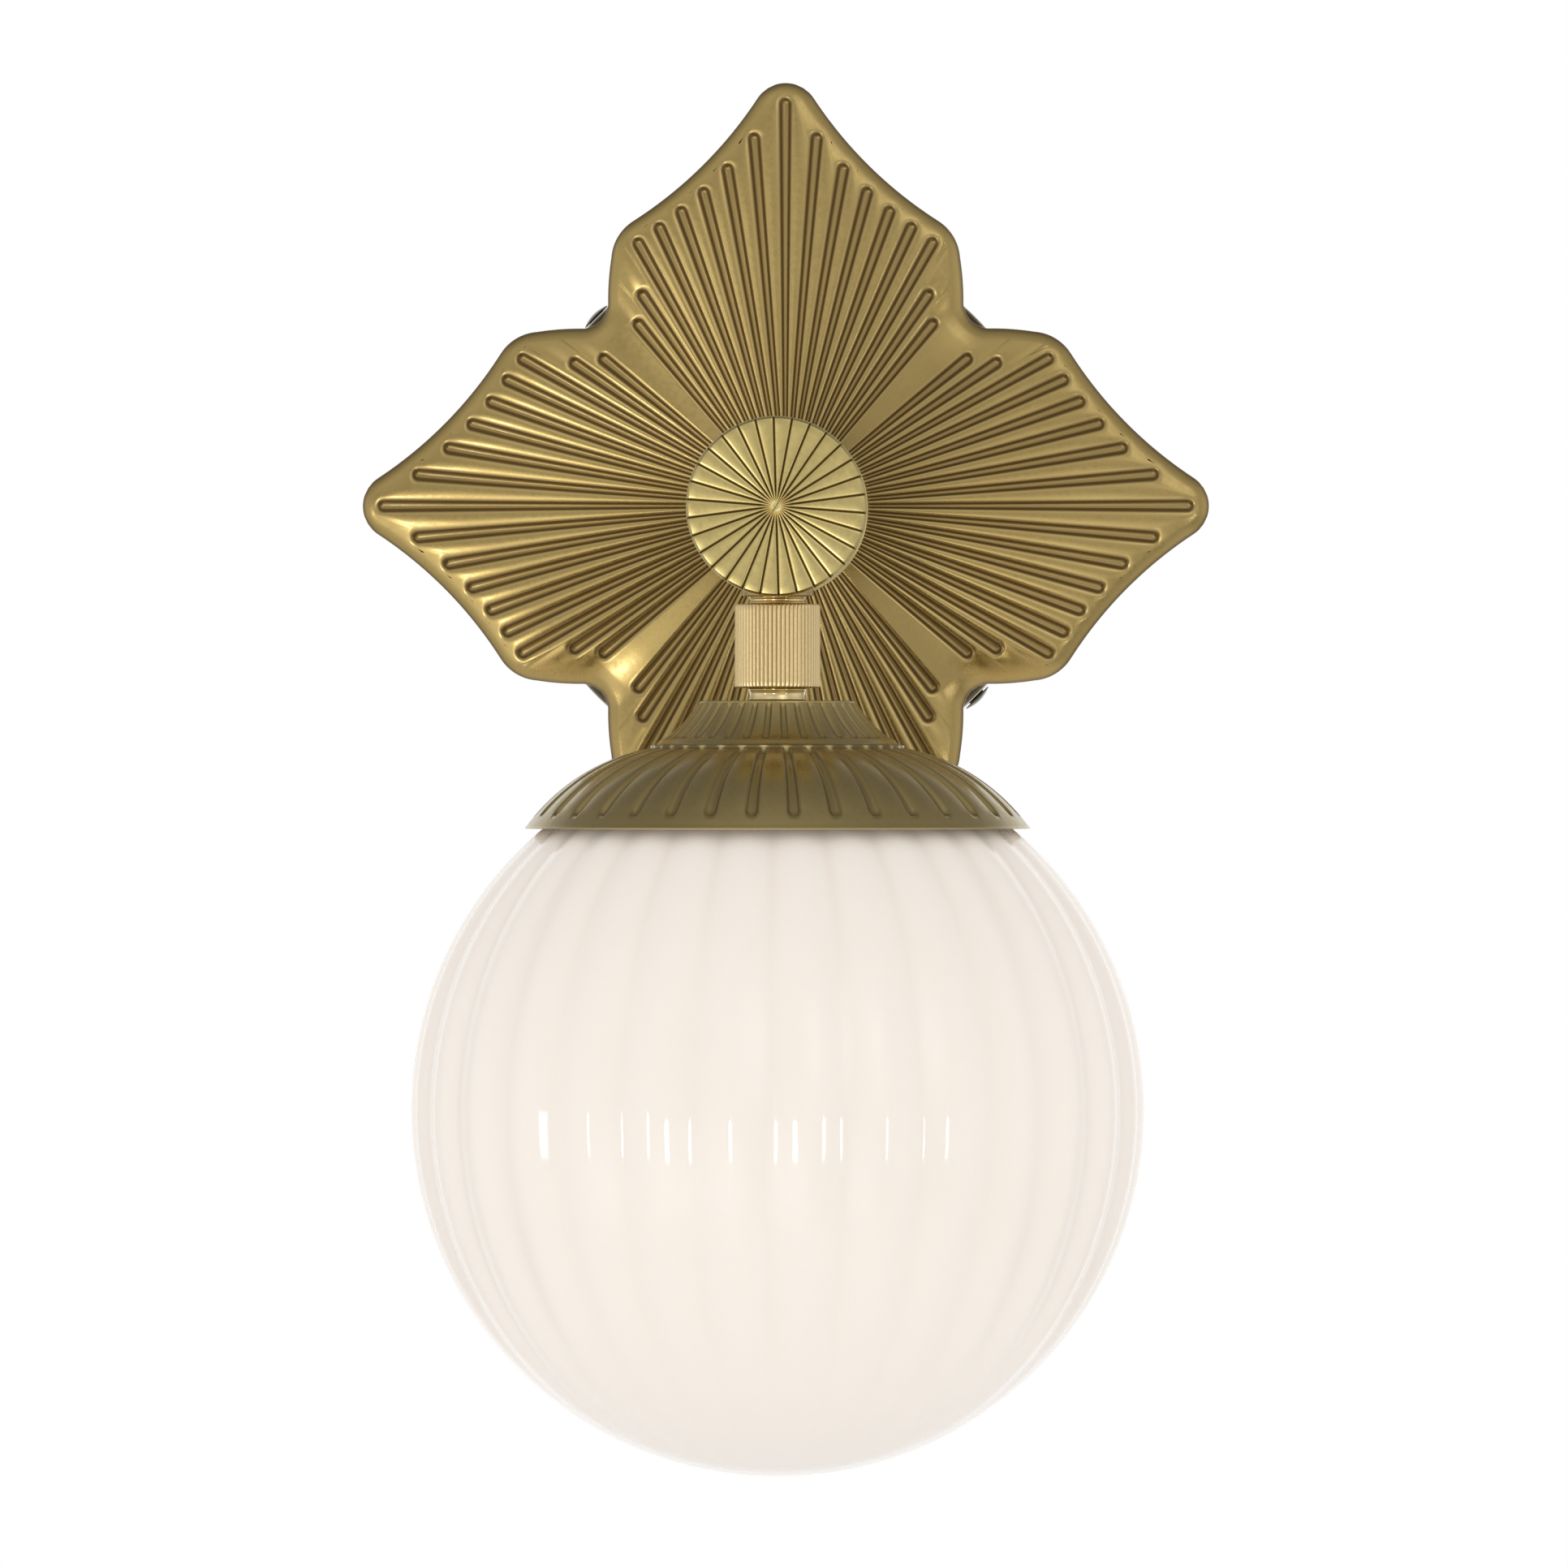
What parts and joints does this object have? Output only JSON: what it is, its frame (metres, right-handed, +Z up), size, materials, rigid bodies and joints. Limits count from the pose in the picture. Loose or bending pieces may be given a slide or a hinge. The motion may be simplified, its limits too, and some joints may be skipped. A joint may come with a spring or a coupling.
{
  "type": "wall sconce",
  "caption": "Wall light: fluted star-shaped brass backplate on a round pan, straight arm with a drum hub, and a ribbed opal globe hanging from a bell cap.",
  "frame": {"origin": "centre of the mounting bracket's face on the wall, midway between its two fixing slots", "axes": "+Z up, +X to the right, +Y into the wall; the fixture stands out along -Y"},
  "size_m": [0.1812, 0.1868, 0.294],
  "materials": {
    "aged_brass": "cast brass with an aged satin finish, darker in the flutes",
    "light_brass": "turned brass, lighter satin finish",
    "dark_brass": "spun brass with a dark olive antique finish",
    "steel": "zinc-plated steel",
    "green_steel": "green ground screw",
    "opal_glass": "opal glass, glossy outside",
    "rubber": "black silicone rubber",
    "phenolic": "black moulded phenolic",
    "porcelain": "white glazed porcelain",
    "contact_brass": "bare stamped brass",
    "bulb_glass": "frosted white bulb glass",
    "bulb_shell": "rolled aluminium screw shell",
    "black_glass": "black insulator with a solder tip",
    "live_insulation": "black wire insulation",
    "neutral_insulation": "white wire insulation",
    "copper": "bare copper",
    "connector_plastic": "red moulded plastic",
    "bushing_plastic": "ivory moulded plastic"
  },
  "bodies": {
    "root": {"mounting_bracket": "steel", "ground_screw": "green_steel", "canopy_pan": "dark_brass", "backplate": "aged_brass", "plate_screws": "steel", "arm_flange": "light_brass", "arm_tube": "aged_brass", "arm_end_bush": "dark_brass", "arm_nipple": "steel", "arm_lock_washer": "steel", "arm_locknut": "steel", "hub_body": "aged_brass", "hub_disc": "light_brass", "hub_rear_ring": "light_brass", "hub_set_screw": "steel", "upper_collar": "light_brass", "ferrule": "light_brass", "lower_collar": "light_brass", "stem_nipple": "steel", "fitter_cap": "dark_brass", "cap_washer": "steel", "cap_locknut": "steel", "glass_ring": "steel", "neck_gasket": "rubber", "holder_cap": "phenolic", "holder_body": "porcelain", "screw_shell": "contact_brass", "centre_contact": "contact_brass", "terminal_screws": "contact_brass", "live_wire": "live_insulation", "neutral_wire": "neutral_insulation", "ground_wire": "copper", "wire_connectors": "connector_plastic", "wire_bushings": "bushing_plastic"},
    "globe": {"globe": "opal_glass"},
    "bulb": {"bulb_glass": "bulb_glass", "bulb_base": "bulb_shell", "bulb_tip": "black_glass"},
    "upper_screw": {"side_screw_upper": "light_brass"},
    "lower_screw": {"side_screw_lower": "light_brass"}
  },
  "joints": [
    {"name": "globe_twist", "type": "hinge", "parent": "root", "child": "globe", "pos_m": [0, -0.111, -0.062], "axis": [0, 0, -1], "range_deg": [0, 60]},
    {"name": "bulb_turn", "type": "hinge", "parent": "root", "child": "bulb", "pos_m": [0, -0.111, -0.09], "axis": [0, 0, 1], "continuous": true},
    {"name": "upper_screw_turn", "type": "hinge", "parent": "root", "child": "upper_screw", "pos_m": [-0.03772, -0.01, 0.03772], "axis": [-0.7071, 0, 0.7071], "continuous": true},
    {"name": "lower_screw_turn", "type": "hinge", "parent": "root", "child": "lower_screw", "pos_m": [0.03772, -0.01, -0.03772], "axis": [0.7071, 0, -0.7071], "continuous": true}
  ]
}
